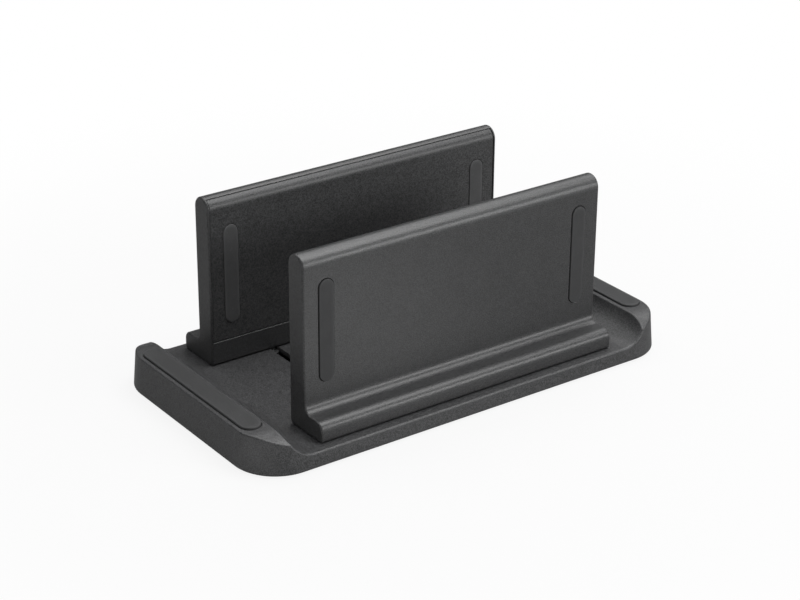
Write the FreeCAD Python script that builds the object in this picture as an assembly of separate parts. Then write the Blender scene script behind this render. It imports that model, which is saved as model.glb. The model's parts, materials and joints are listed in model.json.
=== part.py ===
import FreeCAD, Part
import math
import os

Vector = FreeCAD.Vector

# Desk holder that stands a small computer on edge between two sliding uprights.
# All lengths are millimetres. X runs along the base, Y from front to rear, Z up from the desk.

# Base tray
base_length = 229.6
base_depth = 124.0
base_corner_radius = 21.5
wall_lean = 0.085
bottom_edge_round = 1.0
top_edge_round = 0.9
floor_height = 7.4
floor_thickness = 2.2
tray_wall = 3.0

# End bars of the tray
bar_width = 14.8
bar_rise = 10.3
sweep_radius = 13.8
crown_run = 14.0
crown_drop = 5.72

# Rubber pads on the end bars
bar_pad_width = 9.8
bar_pad_length = 90.2
bar_pad_setback = 1.5
bar_pad_seat_depth = 1.0
bar_pad_proud = 1.2
bar_pad_edge_round = 0.4

# Guide slots in the tray floor
slot_end_inset = 33.9
slot_width = 4.0
slot_edge_distance = 12.5
slot_middle_gap = 11.0
slot_edge_round = 0.4

# Bottom plate
plate_recess = 0.3
plate_thickness = 1.0
plate_rim = 2.2
plate_gap = 0.2

# Ribs and screw posts under the floor
rib_thickness = 1.6
rib_plate_gap = 0.2
cross_rib_gap = 9.0
post_radius = 3.2
corner_post_inset_x = 11.0
corner_post_inset_y = 32.0
middle_post_inset = 8.0

# Rubber feet
foot_radius = 7.0
foot_proud = 0.6
foot_inset_x = 18.0
foot_inset_y = 17.0
foot_edge_round = 0.3

# Uprights
upright_end_clearance = 5.3
upright_height = 81.8
upright_thickness = 11.3
upright_wall = 2.3
foot_depth = 24.3
foot_top_height = 9.4
foot_round = 4.0
foot_hollow_round = 4.0
foot_bottom_round = 1.2
inner_bottom_round = 1.5
upright_end_round = 0.9
upright_floor_gap = 0.3
front_rest_setback = 2.4
rear_rest_setback = 2.2

# Cover panel on the inner side of each upright
panel_recess = 0.3
panel_seat_gap = 0.05
panel_groove = 0.3
panel_end_inset = 1.1
panel_seam_height = 11.65
panel_seam_angle = 25.0
ledge_depth = 1.3
ledge_height = 2.0
ledge_overlap = 2.0

# Clearance round pads, strips and glides in their seats
seat_gap = 0.3

# Rubber strips on both sides of each upright
strip_width = 7.6
strip_inset = 11.6
strip_seat_depth = 1.0
strip_proud = 0.5
strip_edge_round = 0.25
outer_strip_bottom = 21.8
outer_strip_length = 48.1
inner_strip_bottom = 19.8
inner_strip_length = 48.2

# Tongues that run in the slots
tongue_side_gap = 0.2
tongue_stop_gap = 0.2
tongue_inner_reach = 1.5
tongue_outer_reach = 14.5
tongue_sink = 1.4
tongue_root = 1.0

# Clamp under the tray floor
clamp_bar_width = 12.0
clamp_bar_overhang = 8.0
clamp_bar_thickness = 1.0
clamp_bar_corner = 2.0
glide_pad_thickness = 1.2
glide_pad_length = 16.0
glide_pad_width = 9.0
glide_pad_slot_gap = 4.0
washer_thickness = 0.3
washer_radius = 2.2
washer_split = 0.5

# Glides under each upright's foot
glide_length = 22.0
glide_depth = 15.0
glide_slot_gap = 3.0
glide_seat_depth = 0.5
glide_corner = 2.0

# Fasteners
plate_screw_head_radius = 2.5
plate_screw_radius = 1.25
plate_screw_length = 5.0
panel_screw_head_radius = 2.2
panel_screw_head_height = 1.1
panel_screw_radius = 1.1
panel_screw_length = 6.6
panel_screw_inset = 8.2
panel_post_radius = 3.2
panel_post_height = 1.0
clamp_screw_head_radius = 2.0
clamp_screw_head_height = 0.7
clamp_screw_radius = 0.9
clamp_screw_grip = 3.2
screw_gap = 0.05
screw_head_gap = 0.1
screw_tip_gap = 0.3
recess_width = 0.5
recess_depth_share = 0.6
recess_span_share = 0.6

# Cutting tools reach this far past what they cut
tool_margin = 2.0
contact_length = 0.001
sharp_turn = 15.0

# Heights and places worked out from the sizes above
base_bottom = foot_proud
floor_top = base_bottom + floor_height
floor_under = floor_top - floor_thickness
bar_top = floor_top + bar_rise
plate_bottom = base_bottom + plate_recess
plate_top = plate_bottom + plate_thickness
pocket_half = base_length / 2 - bar_width
slot_outer_end = base_depth / 2 - slot_edge_distance
slot_inner_end = slot_middle_gap / 2
bar_pad_x = pocket_half + bar_pad_setback + bar_pad_width / 2
crown_flat = base_depth / 2 - crown_run
crown_radius = (crown_run ** 2 + crown_drop ** 2) / (2 * crown_drop)

upright_half = pocket_half - sweep_radius - upright_end_clearance
slot_offset = upright_half - slot_end_inset
cross_rib_offset = slot_offset + clamp_bar_overhang + cross_rib_gap
upright_bottom = floor_top + upright_floor_gap
upright_top = floor_top + upright_height
foot_top = floor_top + foot_top_height
top_centre = upright_top - upright_thickness / 2
panel_seam = floor_top + panel_seam_height
panel_back = upright_wall - panel_seat_gap
panel_post_end = panel_back + panel_post_height
strip_x = upright_half - strip_inset
outer_limit = slot_outer_end - tongue_stop_gap - tongue_outer_reach
clamp_bar_top = floor_under - glide_pad_thickness
clamp_bar_bottom = clamp_bar_top - clamp_bar_thickness
clamp_bar_centre = (tongue_outer_reach - tongue_inner_reach) / 2
glide_x = slot_offset + slot_width / 2 + glide_slot_gap + glide_length / 2
glide_pad_x = slot_offset - slot_width / 2 - glide_pad_slot_gap - glide_pad_length / 2


# Outlines and solids used throughout

def place(axis, along, a, b):
    """Point of an outline: a and b lie across the axis, along lies on it."""
    if axis == "x":
        return Vector(along, a, b)
    if axis == "y":
        return Vector(a, along, b)
    return Vector(a, b, along)


def outline(corners, axis, along):
    """Closed wire through corners (a, b, radius), each corner rounded by its radius."""
    count = len(corners)
    arcs = []
    for index in range(count):
        a, b, radius = corners[index]
        corner = place(axis, along, a, b)
        before = place(axis, along, *corners[index - 1][:2])
        after = place(axis, along, *corners[(index + 1) % count][:2])
        back = (before - corner).normalize()
        ahead = (after - corner).normalize()
        half_angle = back.getAngle(ahead) / 2
        reach = radius / math.tan(half_angle)
        middle = (back + ahead).normalize()
        depth = radius / math.sin(half_angle) - radius
        arcs.append((corner + back * reach, corner + middle * depth, corner + ahead * reach, radius))
    edges = []
    for index in range(count):
        start, middle, end, radius = arcs[index]
        if radius > 0:
            edges.append(Part.Arc(start, middle, end).toShape())
        next_start = arcs[(index + 1) % count][0]
        if end.distanceToPoint(next_start) > contact_length:
            edges.append(Part.LineSegment(end, next_start).toShape())
    return Part.Wire(edges)


def prism(corners, axis, start, end):
    """Solid of one outline carried along an axis."""
    face = Part.Face(outline(corners, axis, start))
    return face.extrude(place(axis, end - start, 0, 0))


def rectangle(a_low, a_high, b_low, b_high, radius=0.0):
    return [
        (a_low, b_low, radius),
        (a_high, b_low, radius),
        (a_high, b_high, radius),
        (a_low, b_high, radius),
    ]


def strip_outline(centre, width, low, high):
    """Upright strip with full round ends."""
    return rectangle(centre - width / 2, centre + width / 2, low, high, width / 2)


def cylinder(radius, length, base, direction=Vector(0, 0, 1)):
    return Part.makeCylinder(radius, length, base, direction)


def single(shape):
    """Cleaned up result of a boolean that leaves one solid."""
    return shape.removeSplitter().Solids[0]


def face_normal(face, point):
    u, v = face.Surface.parameter(point)
    return face.normalAt(u, v)


def sharp_edges(shape, inside):
    """Edges whose two faces meet at an angle and whose middle passes the inside test."""
    chosen = []
    for edge in shape.Edges:
        middle = edge.valueAt((edge.FirstParameter + edge.LastParameter) / 2)
        faces = shape.ancestorsOfType(edge, Part.Face)
        if len(faces) != 2 or not inside(middle):
            continue
        turn = face_normal(faces[0], middle).getAngle(face_normal(faces[1], middle))
        if math.degrees(turn) > sharp_turn:
            chosen.append(edge)
    return chosen


def cross_recess(head_radius, head_height):
    """Cross shaped driver recess, its mouth at the origin and its depth along Z."""
    span = head_radius * recess_span_share
    half = recess_width / 2
    depth = head_height * recess_depth_share
    first = prism(rectangle(-span, span, -half, half), "z", -depth, depth)
    second = prism(rectangle(-half, half, -span, span), "z", -depth, depth)
    return first.fuse(second)


def countersunk_screw(head_radius, head_height, shank_radius, length):
    """Screw with its head's face at the origin and its shank along Z."""
    head = Part.makeCone(head_radius, shank_radius, head_height)
    shank = cylinder(shank_radius, length, Vector(0, 0, 0))
    return single(head.fuse(shank).cut(cross_recess(head_radius, head_height)))


def countersunk_hole(head_radius, head_height, shank_radius, length):
    """Clearance hole for a countersunk screw, its mouth at the origin and its depth along Z."""
    wide = head_radius + screw_head_gap
    narrow = shank_radius + screw_head_gap
    mouth = cylinder(wide, tool_margin, Vector(0, 0, -tool_margin))
    cone = Part.makeCone(wide, narrow, head_height)
    return mouth.fuse(cone).fuse(cylinder(narrow, length, Vector(0, 0, 0)))


# Base tray

def tray_outline(inset):
    half_length = base_length / 2 - inset
    half_depth = base_depth / 2 - inset
    return rectangle(-half_length, half_length, -half_depth, half_depth, base_corner_radius - inset)


def leaning_block(inset, low, high):
    """Block inside the tray's leaning walls, set in from them by inset."""
    low_inset = inset + wall_lean * (low - base_bottom)
    high_inset = inset + wall_lean * (high - base_bottom)
    low_wire = outline(tray_outline(low_inset), "z", low)
    high_wire = outline(tray_outline(high_inset), "z", high)
    return Part.makeLoft([low_wire, high_wire], True, True)


def crown_height(y):
    """Height of the end bars' top surface: level in the middle, then an arc down to front and rear."""
    past = max(abs(y) - crown_flat, 0.0)
    return bar_top - crown_radius + math.sqrt(crown_radius ** 2 - past ** 2)


def crown_block(shift):
    """All that lies below the end bars' top surface, moved up by shift."""
    reach_x = base_length / 2 + tool_margin
    reach_y = base_depth / 2 + tool_margin
    half_way = (crown_flat + reach_y) / 2

    def on_crown(y):
        return Vector(-reach_x, y, crown_height(y) + shift)

    low_front = Vector(-reach_x, -reach_y, -tool_margin)
    low_rear = Vector(-reach_x, reach_y, -tool_margin)
    edges = [
        Part.LineSegment(low_rear, low_front),
        Part.LineSegment(low_front, on_crown(-reach_y)),
        Part.Arc(on_crown(-reach_y), on_crown(-half_way), on_crown(-crown_flat)),
        Part.LineSegment(on_crown(-crown_flat), on_crown(crown_flat)),
        Part.Arc(on_crown(crown_flat), on_crown(half_way), on_crown(reach_y)),
        Part.LineSegment(on_crown(reach_y), low_rear),
    ]
    face = Part.Face(Part.Wire([edge.toShape() for edge in edges]))
    return face.extrude(Vector(2 * reach_x, 0, 0))


def pocket_block(grow):
    """Space over the tray floor, open to front and rear, swept up to the end bars."""
    half = pocket_half + grow
    low = floor_top - grow
    high = bar_top + sweep_radius + tool_margin
    reach_y = base_depth / 2 + tool_margin
    radius = sweep_radius + grow
    corners = [(-half, low, radius), (half, low, radius), (half, high, 0.0), (-half, high, 0.0)]
    return prism(corners, "y", -reach_y, reach_y)


def slot_block(sign_x, sign_y):
    near = sign_y * slot_inner_end
    far = sign_y * slot_outer_end
    corners = strip_outline(sign_x * slot_offset, slot_width, min(near, far), max(near, far))
    return prism(corners, "z", plate_top, floor_top + tool_margin)


def bar_pad_block(sign_x, grow, top_shift, bottom_shift):
    """Band of a bar pad's outline between two surfaces that follow the bar's crown."""
    half_length = bar_pad_length / 2 + grow
    corners = strip_outline(sign_x * bar_pad_x, bar_pad_width + 2 * grow, -half_length, half_length)
    column = prism(corners, "z", floor_top, bar_top + 2 * tool_margin)
    return column.common(crown_block(top_shift)).cut(crown_block(bottom_shift))


def plate_screw_places():
    """Four screws near the ends and two in the middle of the long sides."""
    end_x = base_length / 2 - corner_post_inset_x
    end_y = base_depth / 2 - corner_post_inset_y
    middle_y = base_depth / 2 - middle_post_inset
    places = [(sign_x * end_x, sign_y * end_y) for sign_x in (-1, 1) for sign_y in (-1, 1)]
    return places + [(0.0, -middle_y), (0.0, middle_y)]


def tray_hollow():
    """Space inside the moulded tray, between its walls, floor and bars."""
    walls = leaning_block(tray_wall, plate_top, bar_top)
    return walls.common(crown_block(-floor_thickness)).cut(pocket_block(floor_thickness))


def tray_ribs(hollow):
    """One rib along the tray and two across it, clear of the sliding clamps."""
    low = plate_top + rib_plate_gap
    half = rib_thickness / 2
    reach_x = base_length / 2
    reach_y = base_depth / 2
    ribs = [prism(rectangle(-reach_x, reach_x, -half, half), "z", low, bar_top)]
    for x in (-cross_rib_offset, cross_rib_offset):
        ribs.append(prism(rectangle(x - half, x + half, -reach_y, reach_y), "z", low, bar_top))
    return [rib.common(hollow) for rib in ribs]


def on_slot_rim(point):
    level = abs(point.z - floor_top) < contact_length
    beside = abs(abs(point.x) - slot_offset) < slot_width / 2 + contact_length
    return level and beside and abs(point.y) < slot_outer_end + contact_length


def base_tray():
    """Moulded tray: leaning walls, a thin floor with four slots, and a raised bar at each end."""
    block = leaning_block(0.0, base_bottom, bar_top + tool_margin)
    body = single(block.common(crown_block(0.0)).cut(pocket_block(0.0)))
    rim_edges = sharp_edges(body, lambda p: p.z > floor_top - contact_length)
    body = body.makeFillet(top_edge_round, rim_edges)
    lower_edges = sharp_edges(body, lambda p: p.z < base_bottom + contact_length)
    body = body.makeFillet(bottom_edge_round, lower_edges)
    hollow = tray_hollow()
    body = body.cut(hollow)
    body = body.cut(prism(tray_outline(plate_rim), "z", base_bottom - tool_margin, plate_top))
    for sign_x in (-1, 1):
        body = body.cut(bar_pad_block(sign_x, seat_gap, tool_margin, -bar_pad_seat_depth))
        for sign_y in (-1, 1):
            body = body.cut(slot_block(sign_x, sign_y))
    body = single(body)
    body = body.makeFillet(slot_edge_round, sharp_edges(body, on_slot_rim))
    for rib in tray_ribs(hollow):
        body = body.fuse(rib)
    for x, y in plate_screw_places():
        post = cylinder(post_radius, bar_top, Vector(x, y, plate_top))
        body = body.fuse(post.common(hollow))
    for x, y in plate_screw_places():
        depth = plate_screw_length + screw_tip_gap
        body = body.cut(cylinder(plate_screw_radius + screw_gap, depth, Vector(x, y, plate_bottom)))
    return single(body)


def bottom_plate():
    """Steel sheet that closes the tray, weighs it down and carries the feet."""
    plate = prism(tray_outline(plate_rim + plate_gap), "z", plate_bottom, plate_top)
    for x, y in plate_screw_places():
        hole = countersunk_hole(
            plate_screw_head_radius, plate_thickness, plate_screw_radius, plate_thickness + tool_margin
        )
        hole.translate(Vector(x, y, plate_bottom))
        plate = plate.cut(hole)
    return single(plate)


def bottom_plate_screws():
    screws = []
    for x, y in plate_screw_places():
        screw = countersunk_screw(
            plate_screw_head_radius, plate_thickness, plate_screw_radius, plate_screw_length
        )
        screw.translate(Vector(x, y, plate_bottom))
        screws.append(screw)
    return Part.makeCompound(screws)


def rubber_foot(sign_x, sign_y):
    x = sign_x * (base_length / 2 - foot_inset_x)
    y = sign_y * (base_depth / 2 - foot_inset_y)
    disc = cylinder(foot_radius, plate_bottom, Vector(x, y, 0.0))
    return disc.makeFillet(foot_edge_round, sharp_edges(disc, lambda p: p.z < contact_length))


def bar_pad(sign_x):
    """Rubber pad with round ends that follows the bar's top surface."""
    pad = single(bar_pad_block(sign_x, 0.0, bar_pad_proud, -bar_pad_seat_depth))
    top_edges = sharp_edges(pad, lambda p: p.z > crown_height(p.y))
    return pad.makeFillet(bar_pad_edge_round, top_edges)


# Uprights, drawn with the inner face at Y zero and the outer side towards plus Y

def upright_outline(inset):
    """Cross-section of an upright and its foot, set in all round by inset."""
    low = upright_bottom + inset
    high = upright_top - inset
    top_round = upright_thickness / 2 - inset
    return [
        (inset, low, max(inner_bottom_round - inset, 0.0)),
        (foot_depth - inset, low, max(foot_bottom_round - inset, 0.0)),
        (foot_depth - inset, foot_top - inset, max(foot_round - inset, 0.0)),
        (upright_thickness - inset, foot_top - inset, foot_hollow_round + inset),
        (upright_thickness - inset, high, top_round),
        (inset, high, top_round),
    ]


def panel_side(low, seam_shift, half_length):
    """Region on the panel's side of the seams: above low and short of the seam over the top."""
    reach = upright_thickness
    turn = math.radians(panel_seam_angle) + seam_shift
    centre = upright_thickness / 2
    corners = [
        (-tool_margin, low, 0.0),
        (centre, low, 0.0),
        (centre, top_centre, 0.0),
        (centre - reach * math.sin(turn), top_centre + reach * math.cos(turn), 0.0),
        (-tool_margin - reach, top_centre, 0.0),
    ]
    return prism(corners, "x", -half_length, half_length)


def panel_screw_places():
    """Screws under the inner strips, two behind each strip, as X and height."""
    low = floor_top + inner_strip_bottom + panel_screw_inset
    high = floor_top + inner_strip_bottom + inner_strip_length - panel_screw_inset
    return [(x, z) for x in (-strip_x, strip_x) for z in (low, high)]


def turned_inwards(shape, x, y, z):
    """Shape drawn along Z, laid along Y with its origin moved to a place."""
    shape.rotate(Vector(0, 0, 0), Vector(1, 0, 0), -90)
    shape.translate(Vector(x, y, z))
    return shape


def strip_block(x, low, length, grow, near, far):
    corners = strip_outline(x, strip_width + 2 * grow, low - grow, low + length + grow)
    return prism(corners, "y", near, far)


def tongue(x):
    """Tongue under an upright that runs in a slot; its inner end stays below the tray floor."""
    width = slot_width - 2 * tongue_side_gap
    whole = strip_outline(x, width, -tongue_inner_reach, tongue_outer_reach)
    root = strip_outline(x, width, tongue_root, tongue_outer_reach)
    blade = prism(whole, "z", clamp_bar_top, floor_top - tongue_sink)
    return blade.fuse(prism(root, "z", clamp_bar_top, upright_bottom + upright_wall))


def upright_shell():
    """Moulded wall with its foot, closed ends and two tongues, open on the inner side."""
    body = prism(upright_outline(0.0), "x", -upright_half, upright_half)
    end_edges = sharp_edges(body, lambda p: abs(p.x) > upright_half - contact_length)
    body = body.makeFillet(upright_end_round, end_edges)
    inner_half = upright_half - upright_wall
    body = body.cut(prism(upright_outline(upright_wall), "x", -inner_half, inner_half))
    core = prism(upright_outline(upright_wall), "x", -upright_half, upright_half)
    body = body.cut(panel_side(panel_seam, 0.0, upright_half - panel_end_inset).cut(core))
    ledge = rectangle(
        upright_wall, upright_wall + ledge_depth, panel_seam - ledge_overlap, panel_seam + ledge_height
    )
    body = body.fuse(prism(ledge, "x", -inner_half, inner_half))
    for x in (-slot_offset, slot_offset):
        body = body.fuse(tongue(x))
        pilot = cylinder(
            clamp_screw_radius + screw_gap,
            clamp_screw_grip + screw_tip_gap,
            Vector(x, clamp_bar_centre, clamp_bar_top),
        )
        body = body.cut(pilot)
    post_start = panel_post_end + panel_seat_gap
    post_length = upright_thickness - upright_wall - post_start
    for x, z in panel_screw_places():
        base = Vector(x, post_start, z)
        body = body.fuse(cylinder(panel_post_radius, post_length, base, Vector(0, 1, 0)))
        tip = panel_recess + strip_seat_depth + panel_screw_length + screw_tip_gap
        pilot_radius = panel_screw_radius + screw_gap
        body = body.cut(cylinder(pilot_radius, tip - post_start, base, Vector(0, 1, 0)))
    for x in (-strip_x, strip_x):
        seat = upright_thickness - strip_seat_depth
        low = floor_top + outer_strip_bottom
        body = body.cut(
            strip_block(x, low, outer_strip_length, seat_gap, seat, upright_thickness + tool_margin)
        )
    for x in (-glide_x, glide_x):
        body = body.cut(glide_block(x, seat_gap, upright_bottom - tool_margin))
    return single(body)


def inner_panel():
    """Cover of the upright's inner side, from a seam over the foot to a seam past the top."""
    half = upright_half - panel_end_inset - panel_groove
    groove_turn = panel_groove / (upright_thickness / 2)
    panel = prism(upright_outline(panel_recess), "x", -half, half)
    panel = panel.common(panel_side(panel_seam + panel_groove, groove_turn, half))
    panel = panel.cut(prism(upright_outline(panel_back), "x", -upright_half, upright_half))
    seat = panel_recess + strip_seat_depth
    for x, z in panel_screw_places():
        base = Vector(x, panel_back, z)
        panel = panel.fuse(cylinder(panel_post_radius, panel_post_height, base, Vector(0, 1, 0)))
    for x, z in panel_screw_places():
        hole = countersunk_hole(
            panel_screw_head_radius, panel_screw_head_height, panel_screw_radius, panel_screw_length
        )
        panel = panel.cut(turned_inwards(hole, x, seat, z))
    for x in (-strip_x, strip_x):
        low = floor_top + inner_strip_bottom
        panel = panel.cut(strip_block(x, low, inner_strip_length, seat_gap, -tool_margin, seat))
    return single(panel)


def outer_strip(x):
    """Rubber strip with round ends, let into the outer face."""
    face = upright_thickness + strip_proud
    low = floor_top + outer_strip_bottom
    strip = strip_block(x, low, outer_strip_length, 0.0, upright_thickness - strip_seat_depth, face)
    return strip.makeFillet(strip_edge_round, sharp_edges(strip, lambda p: p.y > face - contact_length))


def inner_strip(x):
    """Rubber strip that the computer rests against, let into the panel over its screws."""
    face = panel_recess - strip_proud
    low = floor_top + inner_strip_bottom
    strip = strip_block(x, low, inner_strip_length, 0.0, face, panel_recess + strip_seat_depth)
    return strip.makeFillet(strip_edge_round, sharp_edges(strip, lambda p: p.y < face + contact_length))


def panel_screws():
    screws = []
    for x, z in panel_screw_places():
        screw = countersunk_screw(
            panel_screw_head_radius, panel_screw_head_height, panel_screw_radius, panel_screw_length
        )
        screws.append(turned_inwards(screw, x, panel_recess + strip_seat_depth, z))
    return Part.makeCompound(screws)


def glide_block(x, grow, low):
    half_length = glide_length / 2 + grow
    half_depth = glide_depth / 2 + grow
    middle = foot_depth / 2
    corners = rectangle(
        x - half_length, x + half_length, middle - half_depth, middle + half_depth, glide_corner
    )
    return prism(corners, "z", low, upright_bottom + glide_seat_depth)


def foot_glide(x):
    """Slippery pad let into the upright's underside, on which it slides over the floor."""
    return glide_block(x, 0.0, floor_top)


def clamp_bar():
    """Steel strip under the floor that joins an upright's two tongues."""
    half_length = slot_offset + clamp_bar_overhang
    low_y = clamp_bar_centre - clamp_bar_width / 2
    corners = rectangle(-half_length, half_length, low_y, low_y + clamp_bar_width, clamp_bar_corner)
    bar = prism(corners, "z", clamp_bar_bottom, clamp_bar_top)
    for x in (-slot_offset, slot_offset):
        base = Vector(x, clamp_bar_centre, clamp_bar_bottom)
        bar = bar.cut(cylinder(clamp_screw_radius + screw_head_gap, clamp_bar_thickness, base))
    return single(bar)


def clamp_screws():
    """Low headed screws driven up through the clamp bar into the tongues."""
    head_low = clamp_bar_bottom - washer_thickness - clamp_screw_head_height
    length = clamp_bar_top + clamp_screw_grip - head_low
    screws = []
    for x in (-slot_offset, slot_offset):
        head = cylinder(clamp_screw_head_radius, clamp_screw_head_height, Vector(0, 0, 0))
        screw = head.fuse(cylinder(clamp_screw_radius, length, Vector(0, 0, 0)))
        screw = single(screw.cut(cross_recess(clamp_screw_head_radius, clamp_screw_head_height)))
        screw.translate(Vector(x, clamp_bar_centre, head_low))
        screws.append(screw)
    return Part.makeCompound(screws)


def spring_washers():
    """Split rings that keep each clamp screw pulling on its bar."""
    low = clamp_bar_bottom - washer_thickness
    bore = clamp_screw_radius + screw_head_gap
    washers = []
    for x in (-slot_offset, slot_offset):
        base = Vector(x, clamp_bar_centre, low)
        ring = cylinder(washer_radius, washer_thickness, base)
        ring = ring.cut(cylinder(bore, washer_thickness, base))
        split = rectangle(x, x + 2 * washer_radius, clamp_bar_centre, clamp_bar_centre + washer_split)
        washers.append(single(ring.cut(prism(split, "z", low - tool_margin, clamp_bar_top))))
    return Part.makeCompound(washers)


def glide_pad(x):
    """Slippery pad between the clamp bar and the underside of the floor."""
    low_y = clamp_bar_centre - glide_pad_width / 2
    half = glide_pad_length / 2
    corners = rectangle(x - half, x + half, low_y, low_y + glide_pad_width)
    return prism(corners, "z", clamp_bar_top, floor_under)


# Files

def save(name, shape):
    shape.exportStep("parts/" + name + ".step")
    print(name, len(shape.Solids), shape.isValid(), round(shape.Volume, 1))


def save_base():
    save("base_tray", base_tray())
    save("bottom_plate", bottom_plate())
    save("bottom_plate_screws", bottom_plate_screws())
    for name, sign_x in (("left", -1), ("right", 1)):
        save("foot_front_" + name, rubber_foot(sign_x, -1))
        save("foot_rear_" + name, rubber_foot(sign_x, 1))
        save(name + "_bar_pad", bar_pad(sign_x))


def save_upright(side, sign, setback):
    """One upright and what moves with it; the front one is the rear one turned half round."""
    pieces = {
        "upright_shell": upright_shell(),
        "inner_panel": inner_panel(),
        "panel_screws": panel_screws(),
        "clamp_bar": clamp_bar(),
        "clamp_screws": clamp_screws(),
        "spring_washers": spring_washers(),
    }
    for name, turn in (("left", -sign), ("right", sign)):
        pieces["outer_strip_" + name] = outer_strip(turn * strip_x)
        pieces["inner_strip_" + name] = inner_strip(turn * strip_x)
        pieces["foot_glide_" + name] = foot_glide(turn * glide_x)
        pieces["glide_pad_" + name] = glide_pad(turn * glide_pad_x)
    for name, piece in pieces.items():
        if sign < 0:
            piece.rotate(Vector(0, 0, 0), Vector(0, 0, 1), 180)
        piece.translate(Vector(0, sign * (outer_limit - setback), 0))
        save(side + "_" + name, piece)


os.makedirs("parts", exist_ok=True)
save_base()
save_upright("front", -1, front_rest_setback)
save_upright("rear", 1, rear_rest_setback)
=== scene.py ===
import json
import math

import bmesh
import bpy
import numpy as np
from bpy.props import FloatProperty, FloatVectorProperty, IntProperty, PointerProperty
from mathutils import Matrix, Vector


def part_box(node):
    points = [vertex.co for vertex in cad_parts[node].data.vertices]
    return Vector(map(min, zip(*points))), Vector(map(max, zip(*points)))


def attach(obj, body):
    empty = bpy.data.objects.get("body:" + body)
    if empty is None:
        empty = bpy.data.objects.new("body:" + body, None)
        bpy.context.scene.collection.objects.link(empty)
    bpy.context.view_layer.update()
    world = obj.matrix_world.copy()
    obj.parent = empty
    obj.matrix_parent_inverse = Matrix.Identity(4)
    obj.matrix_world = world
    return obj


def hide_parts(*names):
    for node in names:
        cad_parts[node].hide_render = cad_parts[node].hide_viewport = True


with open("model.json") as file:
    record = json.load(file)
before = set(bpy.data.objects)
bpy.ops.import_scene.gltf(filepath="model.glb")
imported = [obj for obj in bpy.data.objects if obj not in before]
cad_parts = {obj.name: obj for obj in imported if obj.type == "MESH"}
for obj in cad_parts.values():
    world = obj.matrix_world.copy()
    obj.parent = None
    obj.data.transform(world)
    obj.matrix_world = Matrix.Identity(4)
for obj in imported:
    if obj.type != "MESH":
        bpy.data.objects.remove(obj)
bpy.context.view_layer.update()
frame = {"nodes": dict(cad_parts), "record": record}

bl_info = {
    "name": "Mini PC Holder",
    "version": (1, 0, 0),
    "blender": (4, 5, 0),
    "location": "View3D > Sidebar > Holder",
    "description": "Finishes a desk holder with two sliding uprights, and sets up its lights and camera",
    "category": "Object",
}

# Words in the nodes' names, and the way along Y that each upright's outer side faces
SIDES = ("left", "right")
UPRIGHTS = {"front": -1.0, "rear": 1.0}

# World axes by number
X, Y, Z = range(3)

# Meshes: the attribute that marks edges and its value low on a side, numbers of steps along a profile's
# curves, its level middle and each kind of straight side, and the angles past which an edge counts as sharp
EDGE_MARK = "edge"
FAINT_MARK = 0.2
PROFILE_STEPS = 8
LEVEL_STEPS = 3
STRIP_STEPS = 24
PAD_STEPS = 40
FOOT_STEPS = 1
MERGE_DISTANCE = 1e-7
RUBBER_SHARP_ANGLE = math.radians(40)
PANEL_SHARP_ANGLE = math.radians(30)
BEVEL_ANGLE = math.radians(40)
BEVEL_SEGMENTS = 3

# Ranges of values: most of a noise, most of the moulded plastic's pitting, the noise over which a speck of
# dust fades in, and the likeness of the true and the rounded normal from an edge to the flat
NOISE_RANGE = (0.3, 0.7)
PIT_RANGE = (0.4, 0.8)
DUST_RANGE = (0.74, 0.84)
LIKENESS_RANGE = (0.75, 0.995)

# Moulded plastic: width of the coarse grain over the fine grain's, its share of the pitting, the change of
# shade over wide patches, an edge's lightness over the plain colour, partly wear and partly painted
# highlight, and a rubbed edge's loss of roughness
COARSE_WIDTH = 3.1
COARSE_SHARE = 0.2
PATCH_SHADE = 0.04
EDGE_WEAR_AND_HIGHLIGHT_LIGHTNESS = 2.2
RUBBED_SMOOTHING = 0.12

# Rubber: how far dust, and on the edges handling wear and a painted highlight, make it paler. Glides: width
# of a rub mark, and its squeeze on each axis
RUBBER_PALING = 0.25
RUB_WIDTH = 0.0004
RUB_SQUEEZE = (1.0, 0.06, 1.0)

# Softboxes: direction from the object's middle, width and height
LIGHT_TARGET = Vector((0.0, 0.0, 0.04))
LIGHT_DISTANCE = 1.2
SOFTBOXES = {
    "top": ((0.30, -0.28, 0.91), 0.60, 0.80),
    "over": ((0.42, 0.27, 0.86), 0.80, 0.90),
    "left": ((-0.25, 0.42, 0.87), 0.90, 0.90),
    "low": ((0.50, -0.82, 0.29), 0.50, 0.24),
    "side": ((-0.78, -0.48, 0.40), 0.40, 0.50),
}

# Rings on the floor across which its brightness changes, as centre, inner and outer radius: one past the
# shadow, and in the painted reflection one far away and one round each painted bright pool, in front and at
# the front left, which paint highlights on the front upright's outer face near its left end and on the
# tray's front left corner
SHADOW_RING = ((0.0, 0.0, 0.0), 0.13, 0.40)
FAR_RING = ((0.0, 0.0, 0.0), 0.35, 1.00)
FRONT_PAINTED_POOL = ((-0.025, -0.190, 0.0), 0.05, 0.15)
CORNER_PAINTED_POOL = ((-0.155, -0.068, 0.0), 0.025, 0.055)
MOTTLE_SIZE = 0.004
PAPER_ROUGHNESS = 0.9
WHITE = (1.0, 1.0, 1.0, 1.0)
SEEN_RAYS = ("Is Camera Ray", "Is Transmission Ray")
MIRRORED_RAYS = ("Is Glossy Ray",)


# Properties

def plain_length(name, description, default, low=0.0, high=0.05):
    """Length property in metres, shown with its unit."""
    return FloatProperty(
        name=name, description=description, default=default, min=low, max=high,
        precision=5, subtype="DISTANCE", unit="LENGTH",
    )


def plain_angle(name, description, degrees):
    """Angle property, shown in degrees."""
    return FloatProperty(
        name=name, description=description, default=math.radians(degrees), subtype="ANGLE", unit="ROTATION",
    )


def plain_colour(name, description, default):
    """Colour property."""
    return FloatVectorProperty(
        name=name, description=description, default=default, min=0.0, max=1.0, size=3, subtype="COLOR",
    )


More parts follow.
